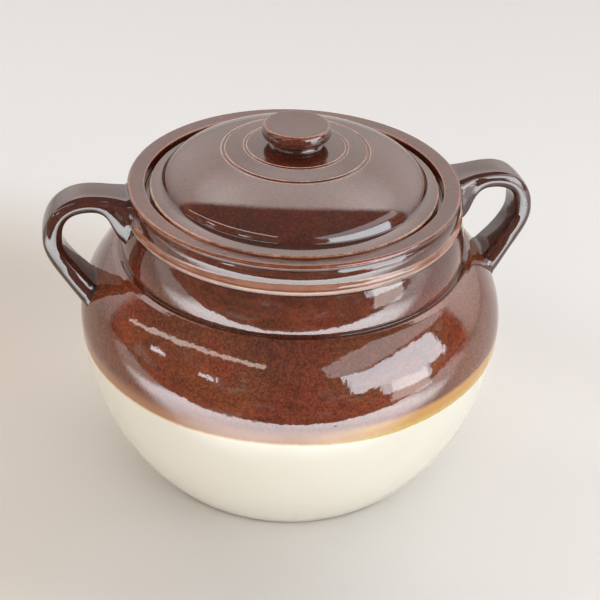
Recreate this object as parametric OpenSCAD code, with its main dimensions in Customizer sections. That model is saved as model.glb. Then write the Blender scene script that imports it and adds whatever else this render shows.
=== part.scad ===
// Stoneware bean pot with two strap handles and a loose drop-in lid.
// Millimetres, +Z up. The origin is the middle of the foot, on the bench.
// The handles stand on the X axis.

/* [Pot] */
// Height of the rim above the bench
pot_h = 169; // [155:1:190]
// Outer radius of the rolled rim
rim_r = 88; // [76:1:94]
// Radius of the belly at its widest
belly_r = 116; // [106:1:130]
// Height of the belly's widest part
belly_z = 92; // [80:1:100]
// Radius where the belly meets the foot
base_r = 82; // [70:1:90]
// Thickness of the wall
wall_t = 7; // [5:0.5:9]
// Thickness of the floor, above the foot's recess
floor_t = 6; // [4.5:0.5:9]
// Height of the rounded corner between the inside wall and the floor
corner_h = 30; // [18:1:40]

/* [Foot ring] */
// Height of the foot ring
foot_h = 2.5; // [1.5:0.5:5]
// Width of the foot ring's flat face
foot_w = 7; // [4:0.5:12]
// Rounding of the foot ring's outer edge
foot_round = 2; // [1:0.5:4]

/* [Collar and neck] */
// Height from the rim down to the underside of the collar's ridge
collar_h = 15.6; // [13:0.2:20]
// How far the collar's ridge stands out past the rim
ridge_out = 1.9; // [0.8:0.1:3]
// Height of the collar ridge's outer face
ridge_h = 2.4; // [1.6:0.1:3]
// Height over which the collar's face flares out to the ridge
ridge_flare = 3.2; // [2.4:0.1:4]
// Height of the neck, from the collar's ridge down to the shoulder
neck_h = 23.2; // [19:0.2:27]
// How much wider the neck's foot is than the rim
neck_flare = 8.2; // [6:0.2:10]
// Radius of the bead at the neck's foot
neck_bead = 1.9; // [1.4:0.1:2.4]
// How deep the bead is sunk in the shoulder
bead_sunk = 1; // [0.6:0.1:1.4]
// How far in from the bead's outside the neck's barrel starts
neck_tuck = 3.7; // [3.2:0.1:4.2]
// Depth of the nick between the bead and the barrel
bead_nick = 0.4; // [0:0.1:0.8]
// How far the shoulder starts outside the neck's bead
shoulder_step = 1; // [0.6:0.2:2]

/* [Rim and lid seat] */
// Width of the rim's top face
rim_w = 8.8; // [7:0.2:10]
// Radius of the rolled lip's outer edge
lip_round = 1.6; // [1:0.1:2]
// How far the rim's top slopes down towards the lid
rim_slope = 0.7; // [0:0.1:1.2]
// Width of the ledge that carries the lid
seat_w = 8.2; // [6:0.2:10]
// Thickness of the ledge at its mouth
seat_t = 5; // [4:0.5:7]
// Gap between the lid's flange and the rim, all round
lid_clear = 2.6; // [1:0.1:4]
// Gap between the lid's locating ring and the mouth
mouth_clear = 1.2; // [0.6:0.1:3]
// Gap that the fired glaze leaves under the lid's flange
seat_gap = 0.3; // [0.1:0.1:0.6]
// How far the flange lies below the rim's top
lid_sunk = 1; // [0:0.5:3]

/* [Lid] */
// Thickness of the lid's flange
flange_t = 5.7; // [4.5:0.1:8]
// Width of the flange's top face, outside the dome
flange_w = 7.1; // [5:0.1:10]
// Height of the dome above the flange
dome_h = 22; // [14:0.5:30]
// Thickness of the dome
dome_t = 6; // [4.5:0.5:8]
// Thickness of the locating ring
ring_t = 4.8; // [4:0.2:7]
// Height of the locating ring below the flange
ring_h = 7; // [4:0.5:12]
// Radius of the inner turned line on the dome
inner_line_r = 26.9; // [22:0.1:31]
// Radius of the outer turned line on the dome
outer_line_r = 38.9; // [34:0.1:48]
// Width of the inner turned line
inner_line_w = 1.5; // [1:0.1:2.5]
// Width of the outer turned line
outer_line_w = 2.1; // [1:0.1:3]
// Depth of both turned lines
line_depth = 0.5; // [0.3:0.1:0.8]

/* [Knob] */
// Radius of the knob at its widest
knob_r = 18; // [14:0.1:20]
// Height of the knob's disc
knob_disc_h = 7.6; // [6:0.2:12]
// Height of the knob's waist, from the dome to the disc
knob_waist_h = 3.4; // [2:0.2:8]
// Radius of the knob's waist
knob_waist_r = 12.2; // [9:0.2:13]
// How far the knob's foot spreads outside its waist
knob_spread = 2.3; // [1:0.1:3]
// How far the knob's top is dished
knob_dish = 0.5; // [0:0.1:1]

/* [Handles] */
// Thickness of the strap
strap_t = 10.4; // [7:0.2:12]
// Width of the strap
strap_w = 20.5; // [15:0.5:26]
// Room for the fingers, from the rim out to the strap
finger_w = 34.6; // [28:0.2:42]
// How far the strap's crest rises above the rim
strap_rise = 1.2; // [-4:0.2:4]
// Depth below the rim at which the strap stands out furthest
bend_drop = 25; // [20:0.5:30]
// Depth below the rim at which the strap's middle lands on the shoulder
landing_drop = 56; // [50:0.5:66]
// How far the upper root runs down the neck
root_drop = 29; // [25:0.5:33]
// How much wider the strap is where it joins the pot
root_flare = 8; // [2:0.5:12]

/* [Glaze] */
// Height of the line where the brown glaze ends
glaze_z = 86; // [60:1:110]
// Thickness of the brown glaze coat over the cream one
glaze_t = 0.4; // [0.2:0.1:0.8]
// Height over which the brown glaze thins out at its lower edge
glaze_fade = 6; // [3:0.5:12]

/* [Hidden] */
$fn = 96;

brown_glaze = [0.24, 0.11, 0.07];
cream_glaze = [0.93, 0.88, 0.75];

arc_steps = 6;    // steps in a small rounding
curve_steps = 8;  // steps in a short curve
form_steps = 40;  // steps in each long curve of the pot
dome_steps = 20;  // steps in the dome, from its foot to the knob
strap_steps = 12; // steps in each of the strap's three stretches
strap_sides = 20; // sides of the strap's section

// Heights that several pieces share
ridge_low_z = pot_h - collar_h;
crease_z = pot_h - collar_h - neck_h;
seat_z = pot_h - lid_sunk - flange_t - seat_gap;
flange_z = seat_z + seat_gap;
flange_top = flange_z + flange_t;
inner_floor = foot_h + floor_t;
corner_z = inner_floor + corner_h;

// Radii that several pieces share
neck_foot_r = rim_r + neck_flare;
shoulder_r = neck_foot_r + shoulder_step;
seat_r = rim_r - rim_w;
mouth_r = seat_r - seat_w;
flange_r = seat_r - lid_clear;
dome_r = flange_r - flange_w;
ring_r = mouth_r - mouth_clear;
hollow_r = ring_r - ring_t;
knob_foot_r = knob_waist_r + knob_spread;

// A point at an angle and a distance from a centre
function polar(centre, r, a) = centre + r * [cos(a), sin(a)];

// Points on an arc round a centre, from one angle to another
function arc(centre, r, from, to) =
    [for (i = [0:arc_steps]) polar(centre, r, from + (to - from) * i / arc_steps)];

// A point on a cubic curve through p[0] and p[3] that leans towards p[1] and p[2], at t from 0 to 1
function on_curve(p, t) =
    p[0] * pow(1 - t, 3) + 3 * p[1] * t * pow(1 - t, 2) + 3 * p[2] * t * t * (1 - t) + p[3] * t * t * t;

// Points on such a curve, without its ends
function inside_curve(p) = [for (i = [1:curve_steps - 1]) on_curve(p, i / curve_steps)];

// Smooth step from 0 to 1
function ease(t) = let (u = min(max(t, 0), 1)) u * u * (3 - 2 * u);

// ---- the pot's form ----

// The belly is two half ellipses that meet at its widest part. One passes through the base's radius,
// and the other through the shoulder's.
lower_half = belly_z / sqrt(1 - pow(base_r / belly_r, 2));
upper_half = (crease_z - belly_z) / sqrt(1 - pow(shoulder_r / belly_r, 2));

function clay_r(z) =
    belly_r * sqrt(1 - pow((z - belly_z) / (z < belly_z ? lower_half : upper_half), 2));

// The brown glaze is a second coat, so the pot is a little thicker above the glaze line.
function glazed_r(z) = clay_r(z) + glaze_t * ease((z - glaze_z) / glaze_fade);

function belly_points(from, to) =
    [for (i = [0:form_steps]) let (z = from + (to - from) * i / form_steps) [glazed_r(z), z]];

// The foot is a flat ring with a rounded outer edge, round a shallow recess.
foot_lean = 44;    // lean of the belly's wall at the foot, in degrees
foot_lean_in = 6;  // the rounding stops this much short of it
foot_corner_z = foot_round * (1 - sin(foot_lean));
foot_edge_r = glazed_r(foot_corner_z) - foot_round * cos(foot_lean);
foot_inner_r = foot_edge_r - foot_w;
foot_points = concat(
    [[0, foot_h], [foot_inner_r - foot_h, foot_h], [foot_inner_r, 0]],
    arc([foot_edge_r, foot_round], foot_round, -90, -foot_lean - foot_lean_in)
);

// The neck is a bead half sunk in the shoulder and, in from it, a barrel. The barrel starts upright,
// swells a little and then leans in to the collar.
bead_under = -20;     // angle at which the bead starts, below
bead_over = 95;       // angle at which it ends, above
barrel_swell = 0.35;  // how far the barrel's curve leans out at its foot
barrel_lean = 2.65;   // how far the curve stands out from the barrel's top
swell_low = 0.33;     // the two places that the curve leans to, as shares of the barrel's height
swell_high = 0.68;
barrel_top_in = 1;    // how far the barrel ends inside the ridge
bead_centre = [neck_foot_r - neck_bead, crease_z + neck_bead - bead_sunk];
barrel_foot = [neck_foot_r - neck_tuck, bead_centre[1] + neck_bead - bead_nick];
barrel_top = [rim_r + ridge_out - barrel_top_in, ridge_low_z];
barrel_h = barrel_top[1] - barrel_foot[1];
neck_points = concat(
    arc(bead_centre, neck_bead, bead_under, bead_over),
    [barrel_foot],
    inside_curve([
        barrel_foot,
        barrel_foot + [barrel_swell, swell_low * barrel_h],
        [barrel_top[0] + barrel_lean, barrel_foot[1] + swell_high * barrel_h],
        barrel_top
    ])
);

// The collar's ridge has an outer face that slants in downwards, under a small rounded edge. From it the
// collar's face flares in, and then swells a little on its way up to the rolled lip.
ridge_slant = 0.5;   // how far the ridge's outer face slants in
ridge_under = 0.2;   // height of the ridge's underside
ridge_edge = 0.5;    // radius of the ridge's edge
flare_w = 0.3;       // how far the collar's face stands out past the rim, above the flare
flare_bend = 0.55;   // where the flare bends, as a share of its height
face_rise = [0.7, 3.3];    // how the face's curve sets out from the flare
face_fall = [1.2, -1.75];  // how it comes in under the lip
lip_under = -50;     // angle at which the lip's rounding starts
lip_centre = [rim_r - lip_round, pot_h - lip_round];
ridge_low = [rim_r + ridge_out - ridge_slant, ridge_low_z + ridge_under];
edge_centre = [rim_r + ridge_out - ridge_edge, ridge_low_z + ridge_under + ridge_h - ridge_edge];
flare_low = polar(edge_centre, ridge_edge, 90);
face_low = [rim_r + flare_w, flare_low[1] + ridge_flare];
face_top = polar(lip_centre, lip_round, lip_under);
collar_points = concat(
    [barrel_top, ridge_low],
    arc(edge_centre, ridge_edge, 0, 90),
    inside_curve([
        flare_low,
        [face_low[0] + ridge_edge, flare_low[1] + ridge_edge],
        face_low - [0, ridge_flare * flare_bend],
        face_low
    ]),
    [face_low],
    inside_curve([face_low, face_low + face_rise, face_top + face_fall, face_top]),
    arc(lip_centre, lip_round, lip_under, 90)
);

// The rim's top slopes in to the sunk seat that carries the lid.
inner_round = 0.9;  // rounding of the rim's inner edge
mouth_round = 1.2;  // rounding of the ledge's edge at the mouth
seat_points = concat(
    arc([seat_r + inner_round, pot_h - rim_slope - inner_round], inner_round, 90, 180),
    [[seat_r, seat_z]],
    arc([mouth_r + mouth_round, seat_z - mouth_round], mouth_round, 90, 180),
    [[mouth_r, seat_z - seat_t]]
);

// Inside, the neck and the belly follow the outside, down to a rounded corner at the floor.
neck_inner_r = rim_r - wall_t;
inner_neck_z = seat_z - seat_t - (neck_inner_r - mouth_r);
inner_shoulder_z = crease_z - wall_t / 2;
corner_power = 0.7;  // 1 is an elliptical corner, and less is a fuller one
corner_step = 8;     // degrees from each point of the corner to the next
inside_points = concat(
    [[neck_inner_r, inner_neck_z], [barrel_foot[0] - wall_t, crease_z + bead_sunk]],
    [
        for (i = [0:form_steps])
            let (z = inner_shoulder_z + (corner_z - inner_shoulder_z) * i / form_steps)
                [clay_r(z) - wall_t, z]
    ],
    [
        for (a = [corner_step:corner_step:89])
            let (z = corner_z - corner_h * pow(sin(a), corner_power))
                [(clay_r(z) - wall_t) * pow(cos(a), corner_power), z]
    ],
    [[0, inner_floor]]
);

// The pot's whole outside, filled solid: what the handles are luted to.
module pot_form() {
    rotate_extrude()
        polygon(concat(
            [[0, 0], [foot_edge_r, 0]],
            belly_points(foot_corner_z, crease_z),
            neck_points,
            collar_points,
            [[0, pot_h]]
        ));
}

module pot_shell() {
    rotate_extrude()
        polygon(concat(
            foot_points,
            belly_points(foot_corner_z, crease_z),
            neck_points,
            collar_points,
            seat_points,
            inside_points
        ));
}

module below_glaze_line() {
    cylinder(r = belly_r * 1.2, h = glaze_z);
}

// Cream glaze all over, and brown glaze over it down to the glaze line
module pot_body() {
    color(cream_glaze)
        intersection() {
            pot_shell();
            below_glaze_line();
        }
    color(brown_glaze)
        difference() {
            pot_shell();
            below_glaze_line();
        }
}

// ---- the lid ----

edge_round = 1.4;     // rounding of the flange's edge
dome_foot_w = 2.4;    // width of the slope where the dome rises from the flange
dome_foot_angle = 6;  // where on the ellipse that slope ends

// Points on half an ellipse over the flange, from one angle to another
function dome_arc(r, h, from, to) = [
    for (i = [0:dome_steps])
        let (a = from + (to - from) * i / dome_steps)
            [r * cos(a), flange_top + h * sin(a)]
];

// The point on the dome at radius r
function dome_point(r) = [r, flange_top + dome_h * sqrt(1 - pow(r / dome_r, 2))];

// The dome is cut flat under the knob.
knob_seat_z = dome_point(knob_foot_r)[1];

module lid() {
    color(brown_glaze)
        difference() {
            rotate_extrude()
                polygon(concat(
                    dome_arc(hollow_r, dome_h - dome_t, 90, 0),
                    [[hollow_r, flange_z - ring_h], [ring_r, flange_z - ring_h], [ring_r, flange_z]],
                    arc([flange_r - edge_round, flange_z + edge_round], edge_round, -90, 0),
                    arc([flange_r - edge_round, flange_top - edge_round], edge_round, 0, 90),
                    [[dome_r + dome_foot_w, flange_top]],
                    dome_arc(dome_r, dome_h, dome_foot_angle, acos(knob_foot_r / dome_r)),
                    [[0, knob_seat_z]]
                ));
            turned_line(inner_line_r, inner_line_w);
            turned_line(outer_line_r, outer_line_w);
        }
}

// A shallow round groove, turned into the dome at radius r
module turned_line(r, w) {
    round_r = (w * w / 4 + line_depth * line_depth) / (2 * line_depth);
    rotate_extrude()
        translate(dome_point(r) + [0, round_r - line_depth])
            circle(r = round_r);
}

// ---- the knob ----

disc_z = knob_seat_z + knob_waist_h;
knob_top = disc_z + knob_disc_h;
disc_wide_z = disc_z + knob_disc_h * 0.45;  // a little under halfway up
disc_low_r = knob_r - 2.2;                  // where the disc's side starts, below
disc_top_r = knob_r - 1.3;                  // where its rounded edge ends, above
under_round = 1.2;                          // rounding under the disc
edge_lean = 1.6;                            // how far the side's curve leans up and in
dish_w = 3;                                 // width of the dish's rounded margin

// The waist curves in from the foot and out again under the disc.
waist_curve = [
    [knob_foot_r, knob_seat_z],
    [knob_waist_r, knob_seat_z + knob_waist_h * 0.3],
    [knob_waist_r, disc_z],
    [disc_low_r - under_round, disc_z]
];
// The disc's side swells to its widest and rounds in to the top.
low_side_curve = [
    [disc_low_r, disc_z + under_round / 3],
    [knob_r - under_round / 4, disc_z + under_round],
    [knob_r, disc_wide_z - under_round],
    [knob_r, disc_wide_z]
];
top_side_curve = [
    [knob_r, disc_wide_z],
    [knob_r, knob_top - edge_lean],
    [disc_top_r + edge_lean / 2, knob_top],
    [disc_top_r, knob_top]
];

module knob() {
    color(brown_glaze)
        rotate_extrude()
            polygon(concat(
                [[0, knob_seat_z], [knob_foot_r, knob_seat_z]],
                inside_curve(waist_curve),
                [waist_curve[3]],
                inside_curve(low_side_curve),
                [top_side_curve[0]],
                inside_curve(top_side_curve),
                [top_side_curve[3]],
                [[disc_top_r - dish_w, knob_top - knob_dish * 0.7], [0, knob_top - knob_dish]]
            ));
}

// ---- the handles ----

// The strap is swept between two edge lines in the XZ plane. The outer one is what the hand sees from
// above, and the inner one is where the fingers go. Both start inside the collar, run out to the crest,
// turn down round the bend, and end inside the shoulder.
root_sink = 5;          // how far the strap starts inside the rim's radius
foot_sink = 13;         // how far it runs on inside the shoulder
foot_steep = 58;        // angle at which it lands there, below the horizontal
foot_spread = 1.24;     // how much thicker it is there
crest_place = 0.46;     // how far out its crest is, as a share of its reach
bend_round = 0.56;      // how round the bend is: 0.55 is a quarter of an ellipse
inner_tight = 3;        // how much shorter the bend's curve is on the inner edge
root_flare_end = 0.62;  // where the upper root's flare ends, as a share of the first stretch
foot_flare_from = 0.41; // where the foot's flare starts, as a share of the last stretch

// How far each edge runs on straight, from the root, into the crest, out of the bend and into the foot
outer_root_run = [9, 1];
inner_root_run = [20, 0];
outer_crest_run = 9;
inner_crest_run = 17;
outer_bend_run = 11;
inner_bend_run = 10;
outer_foot_run = 22;
inner_foot_run = 24;

root_top = [rim_r - root_sink, pot_h - lip_round * 1.5];
root_low = [rim_r - root_sink, pot_h - root_drop];
strap_top_z = pot_h + strap_rise;
strap_under_z = strap_top_z - strap_t;
bend_z = pot_h - bend_drop;
landing_z = pot_h - landing_drop;

strap_out_r = rim_r + finger_w + strap_t;
strap_in_r = rim_r + finger_w;
crest_r = rim_r + (finger_w + strap_t) * crest_place;
bend_run = (strap_out_r - crest_r) * bend_round;
bend_fall = (strap_top_z - bend_z) * bend_round;

foot_dir = -[cos(foot_steep), sin(foot_steep)];
foot_side = [sin(foot_steep), -cos(foot_steep)] * foot_spread * strap_t / 2;
foot_end = [clay_r(landing_z), landing_z] + foot_dir * foot_sink;

outer_edge = [
    [
        root_top,
        root_top + outer_root_run,
        [crest_r - outer_crest_run, strap_top_z],
        [crest_r, strap_top_z]
    ],
    [
        [crest_r, strap_top_z],
        [crest_r + bend_run, strap_top_z],
        [strap_out_r, bend_z + bend_fall],
        [strap_out_r, bend_z]
    ],
    [
        [strap_out_r, bend_z],
        [strap_out_r, bend_z - outer_bend_run],
        foot_end + foot_side - foot_dir * outer_foot_run,
        foot_end + foot_side
    ]
];

inner_edge = [
    [
        root_low,
        root_low + inner_root_run,
        [crest_r - inner_crest_run, strap_under_z],
        [crest_r, strap_under_z]
    ],
    [
        [crest_r, strap_under_z],
        [crest_r + bend_run - inner_tight, strap_under_z],
        [strap_in_r, bend_z + bend_fall - inner_tight],
        [strap_in_r, bend_z]
    ],
    [
        [strap_in_r, bend_z],
        [strap_in_r, bend_z - inner_bend_run],
        foot_end - foot_side - foot_dir * inner_foot_run,
        foot_end - foot_side
    ]
];

// Each stretch and place along the strap, as [stretch, t]
strap_places = [
    for (s = [0:2])
        for (i = [(s == 0 ? 0 : 1):strap_steps])
            [s, i / strap_steps]
];

// The strap is widest where it joins the pot, at either end of the sweep.
function flare(s, t) =
    s == 0 ? 1 - ease(t / root_flare_end)
    : s == 2 ? ease((t - foot_flare_from) / (1 - foot_flare_from))
    : 0;

// A rounded oblong section, from the inner edge to the outer one
section_power = 0.45;  // 1 is an ellipse, and less is squarer

function signed_power(v) = sign(v) * pow(abs(v), section_power);

function strap_ring(place) =
    let (
        outer = on_curve(outer_edge[place[0]], place[1]),
        inner = on_curve(inner_edge[place[0]], place[1]),
        middle = (outer + inner) / 2,
        half = (outer - inner) / 2,
        wide = (strap_w + root_flare * flare(place[0], place[1])) / 2
    )
    [
        for (j = [0:strap_sides - 1])
            let (
                a = 360 * (j + 0.5) / strap_sides,
                p = middle + half * signed_power(sin(a))
            )
            [p[0], wide * signed_power(cos(a)), p[1]]
    ];

module strap() {
    rings = len(strap_places);
    last = (rings - 1) * strap_sides;
    points = [for (place = strap_places) each strap_ring(place)];
    sides = [
        for (i = [0:rings - 2])
            for (j = [0:strap_sides - 1])
                let (
                    k = (j + 1) % strap_sides,
                    here = i * strap_sides,
                    next = here + strap_sides
                )
                each [[here + j, next + k, next + j], [here + j, here + k, next + k]]
    ];
    ends = [
        [for (j = [0:strap_sides - 1]) strap_sides - 1 - j],
        [for (j = [0:strap_sides - 1]) last + j]
    ];
    polyhedron(points, concat(sides, ends), convexity = 6);
}

module handle() {
    color(brown_glaze)
        difference() {
            strap();
            pot_form();
        }
}

module handle_right() {
    handle();
}

module handle_left() {
    mirror([1, 0, 0])
        handle();
}

pot_body();
handle_left();
handle_right();
lid();
knob();
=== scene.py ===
# %% [markdown]
# # A stoneware bean pot
#
# This pot is thrown or jiggered in clay, and so are its lid and knob: turned round one axis. Two strap
# handles are pulled by hand and luted on. Everything is glazed brown, and the pot's lower half is cream.
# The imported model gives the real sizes, so nothing here is moved or resized: each piece is made again
# with smoother curves than a CAD mesh has, because a glossy glaze shows every facet.

# %% The frame
import math

import bpy
import numpy as np
from mathutils import Matrix, Vector, noise


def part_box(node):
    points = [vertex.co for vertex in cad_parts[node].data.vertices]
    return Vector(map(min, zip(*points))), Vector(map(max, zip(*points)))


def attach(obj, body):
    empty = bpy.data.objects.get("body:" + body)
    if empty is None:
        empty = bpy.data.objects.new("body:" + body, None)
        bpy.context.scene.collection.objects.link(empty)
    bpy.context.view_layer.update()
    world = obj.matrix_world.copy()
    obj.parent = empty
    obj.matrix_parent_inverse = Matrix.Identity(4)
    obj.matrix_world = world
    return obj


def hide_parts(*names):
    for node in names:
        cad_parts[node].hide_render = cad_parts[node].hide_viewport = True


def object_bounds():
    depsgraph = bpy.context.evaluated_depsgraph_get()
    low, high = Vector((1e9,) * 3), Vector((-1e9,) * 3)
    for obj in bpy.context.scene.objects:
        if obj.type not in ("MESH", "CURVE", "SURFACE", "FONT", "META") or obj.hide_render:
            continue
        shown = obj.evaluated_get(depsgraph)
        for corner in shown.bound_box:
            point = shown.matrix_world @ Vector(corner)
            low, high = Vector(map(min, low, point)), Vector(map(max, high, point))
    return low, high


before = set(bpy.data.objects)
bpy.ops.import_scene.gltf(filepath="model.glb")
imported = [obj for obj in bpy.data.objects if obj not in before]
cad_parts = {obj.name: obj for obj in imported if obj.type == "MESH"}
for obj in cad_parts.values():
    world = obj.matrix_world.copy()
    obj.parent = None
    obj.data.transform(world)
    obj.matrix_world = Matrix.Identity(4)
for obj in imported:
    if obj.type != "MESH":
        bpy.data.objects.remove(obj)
cad_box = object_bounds()
print("CAD box:", [tuple(round(v, 4) for v in corner) for corner in cad_box])

# %% [markdown]
# ## Sizes
# Outlines are easiest to read in millimetres, so the sizes here are in millimetres and the meshes are
# scaled by MM when they are made. The main ones are read from the frame's boxes, less a little that is
# spare for the unevenness of fired clay, so that the pieces stay inside the solids' box.

# %% Sizes
MM = 0.001


def box_mm(node):
    """A node's lowest and highest corners, in millimetres."""
    low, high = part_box(node)
    return low / MM, high / MM


pot_high = box_mm("pot_body")[1]
lid_low, lid_high = box_mm("lid")
knob_low, knob_high = box_mm("knob")
handle_high = box_mm("handle_right")[1]

SPARE = 0.2
pot_h = pot_high.z
belly_r = pot_high.x - SPARE
rim_r = 88.0
flange_r = lid_high.x - 0.1
knob_r = knob_high.x
print(f"pot {pot_h:.1f} high, belly {belly_r:.1f}, lid {flange_r:.1f}, knob {knob_r:.1f}, "
      f"handles out to {handle_high.x:.1f} mm")

# %% [markdown]
# ## Camera
# The photograph is taken from a little above, with the pot turned a few degrees, so that the left handle
# stands nearer than the right one. A long lens keeps the pot's outline nearly straight. The camera is
# placed by its direction and distance from the rim's centre and aimed at the belly.

# %% Camera
AZIMUTH = math.radians(-12)
ELEVATION = math.radians(27.68)
DISTANCE = 0.6363
AIM = Vector((0.0053, -0.0011, 0.0921))
ROLL = math.radians(2.42)

eye = Vector((
    DISTANCE * math.cos(ELEVATION) * math.sin(AZIMUTH),
    -DISTANCE * math.cos(ELEVATION) * math.cos(AZIMUTH),
    DISTANCE * math.sin(ELEVATION) + pot_h * MM,
))
forward = (AIM - eye).normalized()
level = forward.cross(Vector((0, 0, 1))).normalized()
right = Matrix.Rotation(ROLL, 3, -forward) @ level
up = right.cross(forward)

camera = bpy.data.objects.new("camera", bpy.data.cameras.new("camera"))
camera.data.lens = 72
camera.data.sensor_width = 36
camera.matrix_world = Matrix((
    (right.x, up.x, -forward.x, eye.x),
    (right.y, up.y, -forward.y, eye.y),
    (right.z, up.z, -forward.z, eye.z),
    (0, 0, 0, 1),
))
bpy.context.scene.collection.objects.link(camera)
bpy.context.scene.camera = camera
bpy.context.scene.view_settings.view_transform = "Standard"
print("camera at", tuple(round(v, 4) for v in eye))

# %% [markdown]
# ## Outlines
# A turned piece is an outline carried round an axis. The outlines are written as the turner thinks of
# them: arcs for the rounded edges, and long curves between. Bezier curves would also do for the arcs,
# but an arc keeps its radius, and a radius is what one measures on a real rim. Each point is a distance
# from the axis and a height.

# %% Outline helpers
def arc(centre, radius, start, end, count=10):
    """Points on an arc round centre, between two angles in degrees."""
    angles = np.radians(np.linspace(start, end, count))
    return np.c_[centre[0] + radius * np.cos(angles), centre[1] + radius * np.sin(angles)]


def bezier(a, b, c, d, count=40):
    """Points on a cubic curve from a to d that leans towards b and c."""
    t = np.linspace(0, 1, count)[:, None]
    a, b, c, d = map(np.asarray, (a, b, c, d))
    return a * (1 - t) ** 3 + 3 * b * t * (1 - t) ** 2 + 3 * c * t * t * (1 - t) + d * t ** 3


def ellipse_arc(centre, half_w, half_h, start, end, count=60):
    """Points on an ellipse between two angles in degrees."""
    return arc((0, 0), 1, start, end, count) * (half_w, half_h) + centre


def smoothstep(v, low, high):
    """From 0 at low to 1 at high, with soft ends."""
    t = np.clip((v - low) / (high - low), 0, 1)
    return t * t * (3 - 2 * t)


# %% [markdown]
# ## How glaze lies on clay
# Molten glaze is a thick liquid. It rounds every turned edge, runs thin over the sharp ones and gathers in
# the corners. So each clay outline is walked in small even steps and softened with a bell-shaped average.
# What is left of its bends, outward or inward, is kept as a number on each point. The materials use it
# later, to let the clay's tan colour show where the glaze ran thin.

# %% Glaze helpers
STEP = 0.12


def walk(outline, step=STEP):
    """The same outline in even steps."""
    legs = np.linalg.norm(np.diff(outline, axis=0), axis=1)
    keep = np.r_[True, legs > 1e-6]
    outline = outline[keep]
    along = np.r_[0, np.cumsum(np.linalg.norm(np.diff(outline, axis=0), axis=1))]
    places = np.linspace(0, along[-1], max(int(along[-1] / step), 8))
    return np.c_[np.interp(places, along, outline[:, 0]), np.interp(places, along, outline[:, 1])]


def blur(values, reach, step=STEP):
    """A bell-shaped average along an outline, which leaves its two ends where they are."""
    half = max(int(3 * reach / step), 1)
    bell = np.exp(-0.5 * (np.arange(-half, half + 1) * step / reach) ** 2)
    bell /= bell.sum()
    before = 2 * values[0] - values[half:0:-1]
    after = 2 * values[-1] - values[-2:-half - 2:-1]
    padded = np.concatenate([before, values, after])
    if padded.ndim == 1:
        return np.convolve(padded, bell, "valid")
    return np.stack([np.convolve(column, bell, "valid") for column in padded.T], axis=1)


def bends(points, step=STEP):
    """How sharply an even outline turns at each point, per millimetre. Outward bends are positive."""
    ahead = np.gradient(points, axis=0)
    heading = np.unwrap(np.arctan2(ahead[:, 1], ahead[:, 0]))
    return np.gradient(heading) / step


def glazed(outline, coat=0.45):
    """The outline under its glaze, and the bend left at each point."""
    points = blur(walk(outline), coat)
    return points, blur(bends(points), 0.3)


def keep_points(points, longest=2.2, turn=4.5):
    """Which points a mesh needs: more in the bends, fewer on the long curves."""
    ahead = np.gradient(points, axis=0)
    heading = np.unwrap(np.arctan2(ahead[:, 1], ahead[:, 0]))
    kept, last = [0], 0
    for i in range(1, len(points) - 1):
        far = np.linalg.norm(points[i] - points[last]) >= longest
        bent = abs(heading[i] - heading[last]) >= math.radians(turn)
        if far or bent:
            kept.append(i)
            last = i
    return np.array(kept + [len(points) - 1])


# %% [markdown]
# ## The wheel
# Blender's Screw modifier could turn an outline into a solid. Here the rings are made in code instead,
# because each ring can then be a little out of round, as fired clay is, and each point can carry how
# thin its glaze is. The wobble is a tenth of a millimetre or so: too little to see in the outline, but
# a mirror-like glaze shows it at once as a bend in its reflections.

# %% Turning
AROUND = 256


def wobble(angle, height):
    """How far fired clay stands off a true circle, in millimetres."""
    return (0.10 * np.cos(2 * angle + 0.7 + height * 0.013)
            + 0.05 * np.cos(3 * angle + 2.1 - height * 0.021)
            + 0.022 * np.cos(7 * angle + 0.4 + height * 0.11))


def ripple(mesh, ripples):
    """Moves each point along its normal by soft random waves. ripples are (wavelength, height) in mm."""
    for vertex, normal in zip(mesh.vertices, [v.normal.copy() for v in mesh.vertices]):
        off = sum(height * noise.noise(vertex.co / (wavelength * MM)) for wavelength, height in ripples)
        vertex.co += normal * off * MM


def mesh_object(name, points_mm, faces, bend, ripples=((26, 0.06), (11, 0.016))):
    """A smooth mesh object in metres, with the glaze's bend on each point."""
    mesh = bpy.data.meshes.new(name)
    mesh.from_pydata((np.asarray(points_mm) * MM).tolist(), [], faces)
    mesh.shade_smooth()
    mesh.attributes.new("bend", "FLOAT", "POINT").data.foreach_set("value", np.asarray(bend, np.float32))
    ripple(mesh, ripples)
    for vertex in mesh.vertices:
        vertex.co.z = min(max(vertex.co.z, cad_box[0][2]), cad_box[1][2])
    made = bpy.data.objects.new(name, mesh)
    bpy.context.scene.collection.objects.link(made)
    print(f"{name}: {len(points_mm)} points, {len(faces)} faces")
    return made


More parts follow.
